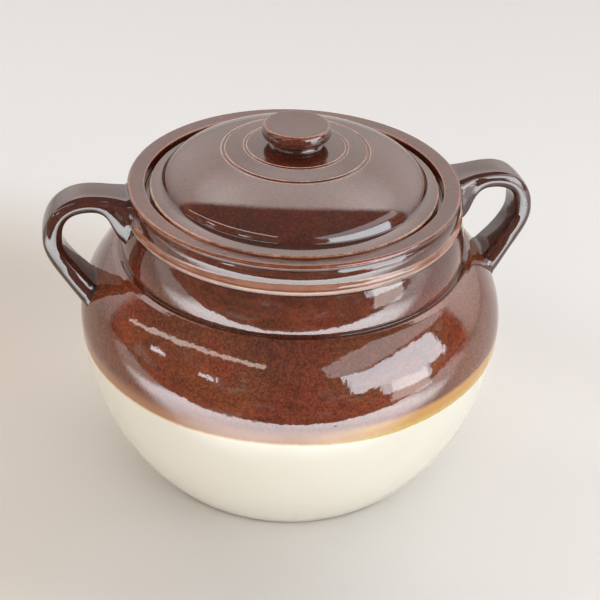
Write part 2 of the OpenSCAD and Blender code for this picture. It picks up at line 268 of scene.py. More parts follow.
def turned(name, outline, coat=0.45, loose=1.0):
    """A turned piece from a closed outline that starts and ends on the axis."""
    points, bend = glazed(outline, coat)
    kept = keep_points(points)
    points, bend = points[kept], bend[kept]
    points[[0, -1], 0] = 0
    angles = np.linspace(0, 2 * np.pi, AROUND, endpoint=False)
    rings = []
    for r, z in points[1:-1]:
        off = loose * wobble(angles, z) * smoothstep(r, 8, 30)
        rings.append(np.c_[(r + off) * np.cos(angles), (r + off) * np.sin(angles), np.full(AROUND, z)])
    first, last = [0, 0, points[0, 1]], [0, 0, points[-1, 1]]
    places = np.concatenate([[first], *rings, [last]])
    bend_all = np.concatenate([[bend[0]], np.repeat(bend[1:-1], AROUND), [bend[-1]]])
    following = np.roll(np.arange(AROUND), -1)
    faces = [(0, int(j) + 1, i + 1) for i, j in enumerate(following)]
    for ring in range(len(rings) - 1):
        low, high = 1 + ring * AROUND, 1 + (ring + 1) * AROUND
        faces += [(low + i, low + int(j), high + int(j), high + i) for i, j in enumerate(following)]
    low, end = 1 + (len(rings) - 1) * AROUND, len(places) - 1
    faces += [(low + i, low + int(j), end) for i, j in enumerate(following)]
    return mesh_object(name, places, faces, bend_all)


# %% [markdown]
# ## The pot
# A bean pot swells from a narrow foot to a wide belly and closes again to a short neck, so that it loses
# little steam. The belly is two half ellipses that meet at its widest part. A low bead rounds off the
# shoulder, and in from it stands the neck, a barrel that starts upright and leans in to the collar. The
# collar's face flares out to a ridge below, whose own face slants inwards, and ends in a rolled lip above.
# Inside the lip a sunk ledge carries the lid.

# %% Pot: the outside
foot_h = 2.5
foot_in_r, foot_out_r, foot_edge_r = 74.1, 81.1, 2
belly_z = 92.0
shoulder_z, shoulder_r = 130.2, 97.3
base_r = 82.0
neck_foot_r = 96.2
ridge_low_z, ridge_r = 153.4, 89.8

lower_half = belly_z / math.sqrt(1 - (base_r / belly_r) ** 2)
upper_half = (shoulder_z - belly_z) / math.sqrt(1 - (shoulder_r / belly_r) ** 2)


def belly_at(z):
    """Radius of the belly at a height."""
    z = np.asarray(z, float)
    return belly_r * np.sqrt(1 - ((z - belly_z) / np.where(z < belly_z, lower_half, upper_half)) ** 2)


def belly_line(low, high, count=160):
    """The belly's outline between two heights."""
    heights = np.linspace(low, high, count)
    return np.c_[belly_at(heights), heights]


foot = np.concatenate([
    [(0, foot_h), (foot_in_r - foot_h, foot_h), (foot_in_r, 0)],
    arc((foot_out_r - 0.6, foot_edge_r), foot_edge_r, -90, -50),
])
bead_r = 1.7
bead_mid = (neck_foot_r - bead_r, shoulder_z - 0.5)
barrel_foot = np.array([92.6, 131.2])
barrel_top = np.array([88.9, ridge_low_z])
barrel_h = ridge_low_z - barrel_foot[1]
neck = np.concatenate([
    arc(bead_mid, bead_r, 42, 100),
    bezier(barrel_foot, barrel_foot + (0.35, 0.33 * barrel_h),
           barrel_top + (2.65, -0.32 * barrel_h), barrel_top),
])
ridge_round = 0.5
edge_mid = (ridge_r - ridge_round, ridge_low_z + 2.1)
face_low = np.array([88.3, 159.2])
face_top = np.array([87.4, 166.2])
lip_r = 1.6
collar = np.concatenate([
    [(ridge_r - ridge_round, ridge_low_z + 0.2)],
    arc(edge_mid, ridge_round, 0, 90),
    bezier((ridge_r - ridge_round, 156.0), (88.8, 156.5), face_low - (0, 1.8), face_low),
    bezier(face_low, face_low + (0.7, 3.3), face_top + (1.2, -1.75), face_top),
    arc((rim_r - lip_r, pot_h - lip_r), lip_r, -50, 90),
])
print(f"belly {2 * belly_r:.0f} mm across, neck {2 * barrel_foot[0]:.0f} mm, collar {2 * ridge_r:.0f} mm")

# %% Pot: the lid's seat and the inside
seat_r, mouth_r, seat_z = 78.8, 71.0, 162.0
lip_inner_r, ledge_r = 0.7, 1.2
wall = 7.0
floor_z, corner_h = 8.5, 30.0

seat = np.concatenate([
    arc((seat_r + lip_inner_r, pot_h - 2 * lip_inner_r), lip_inner_r, 90, 180),
    [(seat_r, seat_z)],
    arc((mouth_r + ledge_r, seat_z - ledge_r), ledge_r, 90, 180),
    [(mouth_r, seat_z - 5)],
])
corner_z = floor_z + corner_h
inner_heights = np.linspace(shoulder_z - wall / 2, corner_z, 80)
turn = np.radians(np.linspace(2, 90, 40))
corner_heights = corner_z - corner_h * np.sin(turn) ** 0.7
inside = np.concatenate([
    [(rim_r - wall, seat_z - 15), (barrel_foot[0] - wall, shoulder_z + 1)],
    np.c_[belly_at(inner_heights) - wall, inner_heights],
    np.c_[(belly_at(corner_heights) - wall) * np.cos(turn) ** 0.7, corner_heights],
    [(0, floor_z)],
])
pot_outline = np.concatenate([foot, belly_line(0.6, shoulder_z), neck, collar, seat, inside])
pot = turned("glazed_pot", pot_outline, coat=0.32)

# %% [markdown]
# ## The lid
# The lid drops into the rim: a flat flange rests on the ledge, a ring below it keeps the lid from sliding,
# and a low dome sheds the steam's drops back into the pot. Two lines are turned into the dome with a
# pointed tool. Each is a groove with a small burr on both sides, and the glaze breaks on the burrs.

# %% Lid
flange_z, flange_top = 162.3, 168.0
ring_low_z = lid_low.z
dome_r, dome_h, dome_wall = 69.5, 22.0, 6.0
ring_r, hollow_r = 69.8, 65.0
knob_foot_r = 14.5
turned_lines = [(26.6, 1.3), (38.0, 1.6)]
line_depth, burr_h = 0.42, 0.12


def with_lines(points):
    """Cuts the turned lines into the dome."""
    cut = points.copy()
    for r, width in turned_lines:
        across = (cut[:, 0] - r) / (width / 2)
        cut[:, 1] -= line_depth * np.exp(-(across * 1.35) ** 4)
        cut[:, 1] += burr_h * np.exp(-((np.abs(across) - 1.35) / 0.42) ** 2)
    return cut


start_angle = 8
dome_line = ellipse_arc((0, flange_top), dome_r, dome_h, start_angle, 90, 700)
under_line = ellipse_arc((0, flange_top), hollow_r, dome_h - dome_wall, 90, 0, 120)
edge_round, edge_drop = 1.4, 0.8
dome_foot = dome_line[0]
lid_outline = np.concatenate([
    under_line,
    [(hollow_r, ring_low_z), (ring_r, ring_low_z), (ring_r, flange_z)],
    arc((flange_r - edge_round, flange_z + edge_round), edge_round, -90, 0),
    arc((flange_r - edge_round, flange_top - edge_drop - edge_round), edge_round, 0, 80),
    bezier((flange_r - 1.6, flange_top - edge_drop), (dome_r + 3.2, flange_top - 0.2),
           (dome_r + 0.2, flange_top + 0.1), dome_foot, count=30),
    with_lines(dome_line),
])
lid_outline[-1, 0] = 0
lid = turned("glazed_lid", lid_outline, coat=0.22)

# %% [markdown]
# ## The knob
# The knob is a thick button on a short waist, stuck to the dome with slip while the clay is damp. Its top
# is dished a little by the thumb, its rounded edge catches the light, and its side is fullest just under
# the middle.

# %% Knob
disc_z = knob_low.z + 3.4
disc_h = knob_high.z - disc_z
wide_z = disc_z + 0.45 * disc_h
top_z = knob_high.z
knob_outline = np.concatenate([
    [(0, knob_low.z - 1.2), (knob_foot_r + 1.6, knob_low.z - 1.2)],
    bezier((knob_foot_r + 1.6, knob_low.z - 1.1), (12.6, knob_low.z), (12.2, disc_z), (14.6, disc_z)),
    bezier((15.6, disc_z + 0.3), (17.4, disc_z + 1.0), (knob_r, wide_z - 1.6), (knob_r, wide_z)),
    bezier((knob_r, wide_z), (knob_r, wide_z + 2.3), (17.4, top_z), (15.4, top_z)),
    bezier((15.4, top_z), (13.4, top_z), (11, top_z - 0.5), (0, top_z - 0.5)),
])
knob = turned("glazed_knob", knob_outline, coat=0.3, loose=0.0)

# %% [markdown]
# ## The handles
# A strap handle is pulled from a lump of clay, laid over in a curve and luted at both ends. It is swept
# here between two edge lines, the outer and the inner, with a rounded oblong section. A Bezier curve with
# a bevel would sweep one section at one thickness, but a pulled strap changes all the way along: it is
# deep where it leaves the collar, even over the bend, and wide where the thumb presses it on the belly.

# %% Handle: the two edge lines
strap_t, strap_w = 10.4, 20.5
root_flare = 8.0
strap_top_z = pot_h + 1.2
bend_z = pot_h - 25
landing_z = pot_h - 56
out_r = handle_high.x - SPARE / 2
in_r = out_r - strap_t
crest_r = rim_r + (out_r - rim_r) * 0.46
bend_run = (out_r - crest_r) * 0.56
bend_fall = (strap_top_z - bend_z) * 0.56
steep = math.radians(58)
foot_dir = -np.array([math.cos(steep), math.sin(steep)])
foot_side = np.array([math.sin(steep), -math.cos(steep)]) * 0.62 * strap_t
foot_end = np.array([float(belly_at(landing_z)), landing_z]) + foot_dir * 13

# Each row is one stretch of an edge: its start, the two points that it leans towards, and its end
outer_edge = [
    [(rim_r - 5, pot_h - 2.4), (rim_r + 4, pot_h - 1.4), (crest_r - 9, strap_top_z), (crest_r, strap_top_z)],
    [(crest_r, strap_top_z), (crest_r + bend_run, strap_top_z), (out_r, bend_z + bend_fall), (out_r, bend_z)],
    [(out_r, bend_z), (out_r, bend_z - 11), foot_end + foot_side - foot_dir * 22, foot_end + foot_side],
]
under_z = strap_top_z - strap_t
inner_edge = [
    [(rim_r - 5, pot_h - 29), (rim_r + 15, pot_h - 29), (crest_r - 17, under_z), (crest_r, under_z)],
    [(crest_r, under_z), (crest_r + bend_run - 3, under_z), (in_r, bend_z + bend_fall - 3), (in_r, bend_z)],
    [(in_r, bend_z), (in_r, bend_z - 10), foot_end - foot_side - foot_dir * 24, foot_end - foot_side],
]
RINGS, SIDES = 36, 64
edge_lines = [np.concatenate([bezier(*stretch, count=RINGS) for stretch in edge])
              for edge in (outer_edge, inner_edge)]
stretch_no = np.repeat([0, 1, 2], RINGS)
stretch_t = np.tile(np.linspace(0, 1, RINGS), 3)
once = np.r_[True, np.linalg.norm(np.diff(edge_lines[0], axis=0), axis=1) > 1e-6]
outer_line, inner_line = edge_lines[0][once], edge_lines[1][once]
stretch_no, stretch_t = stretch_no[once], stretch_t[once]
flare = np.where(stretch_no == 0, 1 - smoothstep(stretch_t, 0, 0.62),
                 np.where(stretch_no == 2, smoothstep(stretch_t, 0.41, 1), 0))
print(f"strap {strap_w} mm wide, {len(outer_line)} rings")

# %% [markdown]
# ## Luting a handle on
# The strap's ends reach into the pot's wall. To find out where, the pot's outline is read as a skin, and each
# point of the strap is measured against it. Near the skin the strap spreads in a soft fillet of slip, and no
# point goes deeper than a little way in. A Boolean would cut the strap too, but leave a hard line there.

# %% Handle: where the pot's skin is
skin = walk(np.concatenate([belly_line(60, shoulder_z), neck, collar]), 0.3)
skin_ahead = np.gradient(skin, axis=0)
skin_out = np.c_[skin_ahead[:, 1], -skin_ahead[:, 0]]
skin_out /= np.linalg.norm(skin_out, axis=1)[:, None]


def off_skin(places):
    """How far points stand off the pot's skin, and which way is off it, all in millimetres."""
    radius = np.hypot(places[:, 0], places[:, 1])
    flat = np.c_[radius, places[:, 2]]
    nearest = np.array([np.argmin(((skin - p) ** 2).sum(1)) for p in flat])
    away = ((flat - skin[nearest]) * skin_out[nearest]).sum(1)
    outward = np.c_[
        skin_out[nearest, 0] * places[:, 0] / radius,
        skin_out[nearest, 0] * places[:, 1] / radius,
        skin_out[nearest, 1],
    ]
    return away, outward


# %% Handle: the sweep
FLAT_SHARE = 2.4
EDGE_R, ROOT_R = 5.2, 8.5
SINK = 2.2
JOIN = 1.3
ring_angle = 2 * np.pi * (np.arange(SIDES) + 0.5) / SIDES


def spread_out(wave, half_size, radius):
    """One side of a rounded oblong: a straight part that a wave runs along, and a round end."""
    flat = np.clip(FLAT_SHARE * wave, -1, 1)
    end = np.sign(wave) * np.abs(wave) ** 0.9
    return (half_size - radius)[:, None] * flat + radius[:, None] * end


middle = (outer_line + inner_line) / 2
half = (outer_line - inner_line) / 2
half_t = np.linalg.norm(half, axis=1)
half_w = (strap_w + root_flare * flare) / 2
corner = np.minimum(half_t, EDGE_R + (ROOT_R - EDGE_R) * flare)
across = spread_out(np.cos(ring_angle), half_w, corner)
upward = spread_out(np.sin(ring_angle), half_t, corner) / half_t[:, None]
rings = np.zeros((len(middle), SIDES, 3))
rings[:, :, 0] = middle[:, None, 0] + half[:, None, 0] * upward
rings[:, :, 1] = across
rings[:, :, 2] = middle[:, None, 1] + half[:, None, 1] * upward

centres = np.c_[middle[:, 0], np.zeros(len(middle)), middle[:, 1]]
places = rings.reshape(-1, 3)
away, outward = off_skin(places)
spread = places - np.repeat(centres, SIDES, axis=0)
spread -= (spread * outward).sum(1)[:, None] * outward
spread /= np.maximum(np.linalg.norm(spread, axis=1), 1e-6)[:, None]
near = np.clip(1 - away / JOIN, 0, 1)
places = places + spread * (JOIN * (1 - np.sqrt(1 - near ** 2)))[:, None]
away, outward = off_skin(places)
places += outward * np.maximum(-SINK - away, 0)[:, None]
in_corner = 1 - smoothstep(away, 0.4, 3.0)
print("handle places:", places.min(0).round(1), places.max(0).round(1))

# %% Handle: the mesh
ring_faces = []
rings_n = len(middle)
for i in range(rings_n - 1):
    for j in range(SIDES):
        k = (j + 1) % SIDES
        ring_faces.append((i * SIDES + j, i * SIDES + k, (i + 1) * SIDES + k, (i + 1) * SIDES + j))
ring_faces.append(tuple(range(SIDES - 1, -1, -1)))
ring_faces.append(tuple((rings_n - 1) * SIDES + j for j in range(SIDES)))
edge_bend = 0.2 * np.exp(-((np.abs(np.tan(ring_angle)) - 0.9) / 0.5) ** 2)
edge_bend = np.tile(edge_bend, rings_n) * (1 - in_corner) - 0.5 * in_corner
handle_right = mesh_object("strap_right", places, ring_faces, edge_bend)
mirrored = places * (-1, 1, 1)
handle_left = mesh_object("strap_left", mirrored, [f[::-1] for f in ring_faces], edge_bend)

# %% [markdown]
# ## Stage
# The pot stands on a plain pale floor that turns whiter further back, as a paper sweep does. Towards the
# camera the tabletop ends close in front of the pot, and a shiny pot shows that: its lower half mirrors
# the pale top and, above it, the dim side of the studio. So the floor is two sheets. Both show to the
# camera and take the shadow, but the near one isn't mirrored.

# %% Stage: the floor
# The left floor colour is darker than the right: partly the table's own tone, partly painted shade on the side
# away from the window.
FLOOR_LEFT_TONE_AND_SHADE, FLOOR_RIGHT = (0.595, 0.55, 0.48, 1), (0.735, 0.73, 0.71, 1)
BACK_LEFT, BACK_RIGHT = (0.81, 0.83, 0.82, 1), (0.80, 0.82, 0.81, 1)
away_from_camera = Vector((-math.sin(AZIMUTH), math.cos(AZIMUTH), 0))
sideways = Vector((math.cos(AZIMUTH), math.sin(AZIMUTH), 0))
TABLE_FRONT = 0.31
FAR = 6.0


def sheet(name, nearest, farthest):
    """A flat sheet of floor, square to the camera, between two distances along the view."""
    corners = [sideways * x + away_from_camera * y for x, y in
               ((-FAR, nearest), (FAR, nearest), (FAR, farthest), (-FAR, farthest))]
    mesh = bpy.data.meshes.new(name)
    mesh.from_pydata(corners, [], [(0, 1, 2, 3)])
    made = bpy.data.objects.new(name, mesh)
    bpy.context.scene.collection.objects.link(made)
    return made


tabletop = sheet("tabletop", -TABLE_FRONT, FAR)
near_floor = sheet("near_floor", -FAR, -TABLE_FRONT)
near_floor.visible_glossy = False

# %% [markdown]
# ## Nodes in few words
# Materials and the room's light are node trees. Joined by hand in Blender's editor, they are clear to look at,
# but in code each node takes several lines. These helpers add a node, set it and link it in one line,
# so that a finish below reads like a recipe.

# %% Nodes: small helpers
def node(tree, kind, inputs=None, **settings):
    """Adds a node. Inputs are set by name or number, and a socket given as a value is linked."""
    made = tree.nodes.new("ShaderNode" + kind)
    for name, value in settings.items():
        setattr(made, name, value)
    for key, value in (inputs or {}).items():
        socket = made.inputs[key]
        if isinstance(value, bpy.types.NodeSocket):
            tree.links.new(value, socket)
        else:
            socket.default_value = value
    return made


def maths(tree, operation, a, b=0.0, c=0.0, clamp=False):
    """One sum. Each of a, b and c is a number or a socket."""
    return node(tree, "Math", {0: a, 1: b, 2: c}, operation=operation, use_clamp=clamp).outputs[0]


def times(tree, vector, factors):
    """A vector or colour times another one, or times one number."""
    return node(tree, "VectorMath", {0: vector, 1: factors}, operation="MULTIPLY").outputs["Vector"]


def blend(tree, share, a, b):
    """Mixes two colours by a share of the second."""
    return node(tree, "Mix", {0: share, 6: a, 7: b}, data_type="RGBA").outputs[2]


def fade(tree, value, low, high, start=0.0, end=1.0):
    """Smoothly from start, where the value is low, to end, where it is high."""
    made = node(tree, "MapRange", {"Value": value, "From Min": low, "From Max": high,
                                   "To Min": start, "To Max": end}, interpolation_type="SMOOTHSTEP")
    return made.outputs[0]


def lumps(tree, where, scale, detail=2.0, roughness=0.5):
    """A noise between about 0.2 and 0.8, with so many lumps a metre."""
    made = node(tree, "TexNoise", {"Vector": where, "Scale": scale, "Detail": detail, "Roughness": roughness})
    return made.outputs[0]


def ramp(tree, value, stops):
    """A colour for each value, through (place, colour) stops."""
    made = node(tree, "ValToRGB", {0: value})
    band = made.color_ramp
    while len(band.elements) < len(stops):
        band.elements.new(0.5)
    for element, (place, colour) in zip(band.elements, stops):
        element.position = place
        element.color = colour if len(colour) == 4 else (*colour, 1)
    return made.outputs[0]


def new_material(name):
    """A material with its tree and its Principled shader."""
    material = bpy.data.materials.new(name)
    material.use_nodes = True
    return material, material.node_tree, material.node_tree.nodes["Principled BSDF"]


# %% [markdown]
# ## The floor's colour
# The photograph's table is warmer at the left and greyer at the right, and whiter behind the pot. The left is
# darker too, partly painted shade on the side away from the window. Two soft fades between four colours do
# that. A picture of a table would do it too, but it would fix one table for good.

# %% Stage: its colour
floor_paint, tree, shader = new_material("floor paint")
place = node(tree, "NewGeometry").outputs["Position"]


def along(tree, vector, way):
    """How far a vector reaches in one direction."""
    return node(tree, "VectorMath", {0: vector, 1: (*way,)}, operation="DOT_PRODUCT").outputs["Value"]


to_the_right = along(tree, place, sideways)
# Darker towards the left: partly painted shade.
floor_front_and_left_shade = blend(tree, fade(tree, to_the_right, -0.25, 0.10), FLOOR_LEFT_TONE_AND_SHADE, FLOOR_RIGHT)
back = blend(tree, fade(tree, to_the_right, -0.30, 0.15), BACK_LEFT, BACK_RIGHT)
back_line = along(tree, place, away_from_camera + 0.26 * sideways)
tree.links.new(blend(tree, fade(tree, back_line, 0.10, 0.26), floor_front_and_left_shade, back), shader.inputs["Base Color"])
shader.inputs["Roughness"].default_value = 0.6
for part in (tabletop, near_floor):
    part.data.materials.append(floor_paint)
print("floor painted:", tabletop.name, "and", near_floor.name)

# %% [markdown]
# ## Light
# A glossy pot is mostly a picture of its surroundings, so these are built with care. Behind the pot stands
# a pale wall that grows brighter upwards. The camera's side and the ceiling are dim, which keeps the
# glaze's own brown in view there. A lamp could both light the pot and be mirrored in it, but then a window
# that is bright enough to see in the glaze burns out the cream. So most lamps do one thing only: the
# window's lamps are only mirrored, and four soft lamps only light, so that a colour comes out about as it
# is written. The long strip on the left and the two glints do both.

# %% Light: the room
DIM, DIM_HIGH = (0.16, 0.13, 0.12), (0.17, 0.17, 0.18, 1)
DIM_WARM = (0.95, 0.34, 0.22)
DIM_PALE = (1.1, 0.95, 0.88)
world = bpy.data.worlds.new("studio")
bpy.context.scene.world = world
world.use_nodes = True
tree = world.node_tree
background = tree.nodes["Background"]
direction = node(tree, "TexCoord").outputs["Generated"]
height = node(tree, "SeparateXYZ", {0: direction}).outputs["Z"]
behind = along(tree, direction, away_from_camera)
right_hand = along(tree, direction, sideways)
wall_light = ramp(tree, height, [
    (0.0, (0.62, 0.60, 0.58)),
    (0.30, (1.12, 1.05, 1.01)),
    (0.58, (1.42, 1.32, 1.27)),
    (0.80, (2.6, 2.42, 2.34)),
    (1.0, (2.7, 2.52, 2.44)),
])
gain_right = fade(tree, right_hand, 0.0, 0.9, 1.0, 1.8)
gain_left = fade(tree, right_hand, -0.5, -0.1, 0.35, 0.0)
wall_light = times(tree, wall_light, maths(tree, "ADD", gain_right, gain_left))
stretched = times(tree, direction, (1, 1, 2.5))
patches = lumps(tree, stretched, 2.6, 4, 0.6)
room_light = ramp(tree, patches, [
    (0.0, DIM), (0.44, DIM), (0.52, DIM_WARM), (0.58, DIM), (0.66, DIM_PALE), (0.70, DIM_WARM), (1.0, DIM),
])
room_light = blend(tree, fade(tree, height, 0.30, 0.62), room_light, DIM_HIGH)
light = blend(tree, fade(tree, behind, 0.22, 0.34), room_light, wall_light)
ray = node(tree, "LightPath").outputs
tree.links.new(blend(tree, ray["Is Camera Ray"], light, (0.80, 0.79, 0.77, 1)), background.inputs["Color"])
LIT_LESS = 0.27
room_strength = maths(tree, "MULTIPLY_ADD", ray["Is Diffuse Ray"], -LIT_LESS, 1.0)
tree.links.new(room_strength, background.inputs["Strength"])
print(f"the room lights the pot with {1 - LIT_LESS:.0%} of what the glaze mirrors")


# %% Light: the lamps
POT_MIDDLE = Vector((0, 0, 0.12))


def hang(name, place, facing, width, height, brightness, colour=(1, 1, 1), mirrored=True, lights=True):
    """A flat lamp. Its brightness is how bright the lamp itself looks, where white is 1."""
    data = bpy.data.lights.new(name, "AREA")
    data.shape = "RECTANGLE"
    data.size, data.size_y = width, height
    data.energy = brightness * math.pi * width * height
    data.color = colour
    made = bpy.data.objects.new(name, data)
    made.location = place
    made.rotation_euler = facing.to_euler()
    made.visible_camera = False
    made.visible_glossy = mirrored
    made.visible_diffuse = lights
    bpy.context.scene.collection.objects.link(made)
    print(f"{name}: {width:.2f} by {height:.2f} m, brightness {brightness}")


def lamp(name, turn, rise, distance, *size_and_light, **more):
    """A lamp that faces the pot. turn is its bearing from the camera's, to the right."""
    bearing = AZIMUTH + math.radians(turn)
    rise = math.radians(rise)
    way = Vector((math.sin(bearing) * math.cos(rise), -math.cos(bearing) * math.cos(rise), math.sin(rise)))
    hang(name, POT_MIDDLE + way * distance, way.to_track_quat("Z", "Y"), *size_and_light, **more)


def beam(name, start, end, height, thickness, *light, **more):
    """A long level lamp between two places, each given as metres to the right and towards the camera."""
    first, last = (sideways * x - away_from_camera * y + Vector((0, 0, height)) for x, y in (start, end))
    place = (first + last) / 2
    run = (last - first).normalized()
    facing = place - POT_MIDDLE
    facing = (facing - facing.dot(run) * run).normalized()
    turned_to = Matrix((run, facing.cross(run), facing)).transposed().to_quaternion()
    hang(name, place, turned_to, (last - first).length, thickness, *light, **more)


DAYLIGHT = (0.82, 0.92, 1.0)
FILL = (0.94, 0.97, 1.0)
# Name, bearing and rise in degrees, distance, width and height in metres, brightness, colour
lamp("window", 58, 18.8, 1.5, 1.52, 0.58, 6.2, DAYLIGHT, lights=False)
lamp("window below", 60, 2.6, 1.5, 0.74, 0.27, 4.9, DAYLIGHT, lights=False)
lamp("window light above", 63, 39, 1.5, 2.1, 0.38, 1.9, (1.0, 0.95, 0.95), lights=False)
beam("strip", (-3.325, -0.408), (-0.279, 1.208), 1.03, 0.10, 4.2, (1.0, 0.88, 0.78))
lamp("glint", -40, 15, 1.5, 0.22, 0.07, 7.0, DAYLIGHT)
lamp("far glint", -70, 15, 1.5, 0.20, 0.07, 7.0, DAYLIGHT)
lamp("soft window", 58, 19, 1.5, 1.3, 0.53, 4.3, FILL, mirrored=False)
lamp("soft fill right", 40, 50, 1.6, 1.6, 1.2, 0.55, FILL, mirrored=False)
lamp("soft fill left", -45, 40, 1.6, 1.6, 1.2, 0.9, FILL, mirrored=False)
lamp("soft fill low", -10, 8, 1.4, 1.8, 0.30, 2.5, FILL, mirrored=False)

# %% [markdown]
# ## What only the glaze sees
# On a real table the pot mirrors the lit top before it as a white line along its shoulder, neck and collar,
# and a pale thing beside the window as a patch on its neck. Lamps would light the floor as well. A glowing
# sheet that shows only to mirrored rays doesn't: one lies on the table as a card, one stands as a panel.

# %% Light: the card on the table
def glowing(piece, colour, strength):
    """Lets a sheet shine in the glazes alone. It neither shows to the camera nor lights anything."""
    tree = piece.active_material.node_tree
    glow = node(tree, "Emission", {"Color": colour, "Strength": strength}).outputs[0]
    clear = node(tree, "BsdfTransparent").outputs[0]
    both = node(tree, "AddShader", {0: glow, 1: clear}).outputs[0]
    tree.links.new(both, node(tree, "OutputMaterial").inputs["Surface"])
    for ray in ("camera", "diffuse", "transmission", "volume_scatter", "shadow"):
        setattr(piece, "visible_" + ray, False)


def empty_material(piece):
    """Gives a piece a material with nothing in it, and returns the tree."""
    material = bpy.data.materials.new(piece.name + " light")
    material.use_nodes = True
    material.node_tree.nodes.clear()
    piece.data.materials.append(material)
    return material.node_tree


CARD_NEAR, CARD_FAR = -0.305, 0.10
card = sheet("card", CARD_NEAR, CARD_FAR)
card.location.z = 0.0003
tree = empty_material(card)
place = node(tree, "NewGeometry").outputs["Position"]
to_the_side = maths(tree, "ABSOLUTE", along(tree, place, sideways))
reach = maths(tree, "MULTIPLY_ADD", to_the_side, 0.25, along(tree, place, -away_from_camera))
far_part = fade(tree, reach, 0.155, 0.235, 0.0, 4.0)
near_part = fade(tree, reach, 0.23, 0.31, 0.0, 1.2)
strength = maths(tree, "ADD", far_part, near_part)
strength = maths(tree, "MULTIPLY", strength, fade(tree, to_the_side, 0.28, 0.52, 1.0, 0.12))
glowing(card, (0.92, 0.98, 1.02, 1), strength)
print(f"card from {-CARD_NEAR} m before the pot's middle to {CARD_FAR} m behind it")

# %% Light: the panel beside the window
PANEL_NEAR, PANEL_FAR = 48, 68
PANEL_AWAY, PANEL_H = 0.60, 0.19
panel_ends = []
for turn_deg in (PANEL_NEAR, PANEL_FAR):
    bearing = math.radians(turn_deg)
    panel_ends.append((sideways * math.sin(bearing) - away_from_camera * math.cos(bearing)) * PANEL_AWAY)
panel_mesh = bpy.data.meshes.new("panel")
panel_mesh.from_pydata(
    [*panel_ends, *[end + Vector((0, 0, PANEL_H)) for end in reversed(panel_ends)]], [], [(0, 1, 2, 3)])
panel = bpy.data.objects.new("panel", panel_mesh)
bpy.context.scene.collection.objects.link(panel)
empty_material(panel)
glowing(panel, (1.0, 0.94, 0.88, 1), 3.3)
print("panel from", [tuple(round(v, 2) for v in end) for end in panel_ends])

# %% [markdown]
# ## Glaze
# One brown glaze covers the lid, the knob, the handles and the pot's upper half. Where it lies thick it is
# nearly black, on the open belly it is a warm brown with a fine orange speckle, and where it runs thin it
# breaks to tan. Each of these effects is a node group, so that all the materials share them.

# %% Glaze: how a group is made and used
def new_group(name, inputs, outputs):
    """An empty node group. Inputs are (name, kind, value), and outputs (name, kind)."""
    group = bpy.data.node_groups.new(name, "ShaderNodeTree")
    for socket, kind, value in inputs:
        made = group.interface.new_socket(socket, in_out="INPUT", socket_type="NodeSocket" + kind)
        made.default_value = value
    for socket, kind in outputs:
        group.interface.new_socket(socket, in_out="OUTPUT", socket_type="NodeSocket" + kind)
    return group, group.nodes.new("NodeGroupInput").outputs, group.nodes.new("NodeGroupOutput").inputs


def use(tree, group, **values):
    """Places a group in a material and returns its outputs."""
    placed = tree.nodes.new("ShaderNodeGroup")
    placed.node_tree = group
    for name, value in values.items():
        socket = placed.inputs[name.replace("_", " ")]
        if isinstance(value, bpy.types.NodeSocket):
            tree.links.new(value, socket)
        else:
            socket.default_value = value
    return placed.outputs


# %% Glaze: brown, from where it lies thick, 0, to where it is so thin that the clay shows, 1
THICK = (0.026, 0.011, 0.008)
BROWN = (0.075, 0.023, 0.012)
WARM = (0.190, 0.053, 0.016)
RUST = (0.33, 0.125, 0.050)
TAN = (0.55, 0.36, 0.22)
REDDER = (1.25, 0.70, 0.95)

brown_glaze, given, put = new_group(
    "brown glaze",
    [("Thinness", "Float", 0.3), ("Cloud", "Float", 0.1), ("Speckle", "Float", 0.1),
     ("Redness", "Float", 0.5)],
    [("Color", "Color"), ("Thinness", "Float")],
)
where = node(brown_glaze, "TexCoord").outputs["Object"]
cloud = maths(brown_glaze, "SUBTRACT", lumps(brown_glaze, where, 22, 3, 0.55), 0.5)
patch = maths(brown_glaze, "SUBTRACT", lumps(brown_glaze, where, 130, 3, 0.6), 0.5)
fine = fade(brown_glaze, lumps(brown_glaze, where, 1500, 2, 0.75), 0.36, 0.64, -0.5, 0.5)
coarse = fade(brown_glaze, lumps(brown_glaze, where, 620, 2, 0.6), 0.36, 0.64, -0.5, 0.5)
speck = maths(brown_glaze, "MULTIPLY_ADD", coarse, 0.6, maths(brown_glaze, "MULTIPLY", fine, 0.7))
cloud = maths(brown_glaze, "MULTIPLY_ADD", patch, 0.7, cloud)
thinness = maths(brown_glaze, "MULTIPLY_ADD", cloud, given["Cloud"], given["Thinness"])
thinness = maths(brown_glaze, "MULTIPLY_ADD", speck, given["Speckle"], thinness, clamp=True)
brown_glaze.links.new(thinness, put["Thinness"])
shade = ramp(brown_glaze, thinness, [(0.0, THICK), (0.28, BROWN), (0.5, WARM), (0.74, RUST), (1.0, TAN)])
red_shade = times(brown_glaze, shade, REDDER)
red_share = fade(brown_glaze, lumps(brown_glaze, where, 34, 4, 0.6), 0.40, 0.62)
red_share = maths(brown_glaze, "MULTIPLY", red_share, given["Redness"])
brown_glaze.links.new(blend(brown_glaze, red_share, shade, red_shade), put["Color"])
print("group:", brown_glaze.name, len(brown_glaze.nodes), "nodes")

# %% [markdown]
# ## Thin edges and full corners
# The bend that was kept on each point becomes two masks: where the glaze ran thin over an edge, and where it
# gathered in a corner. Blender's Pointiness could find edges too, but only in Cycles, and it depends on how
# fine the mesh is. A noise makes the break uneven, as it is on fired ware.

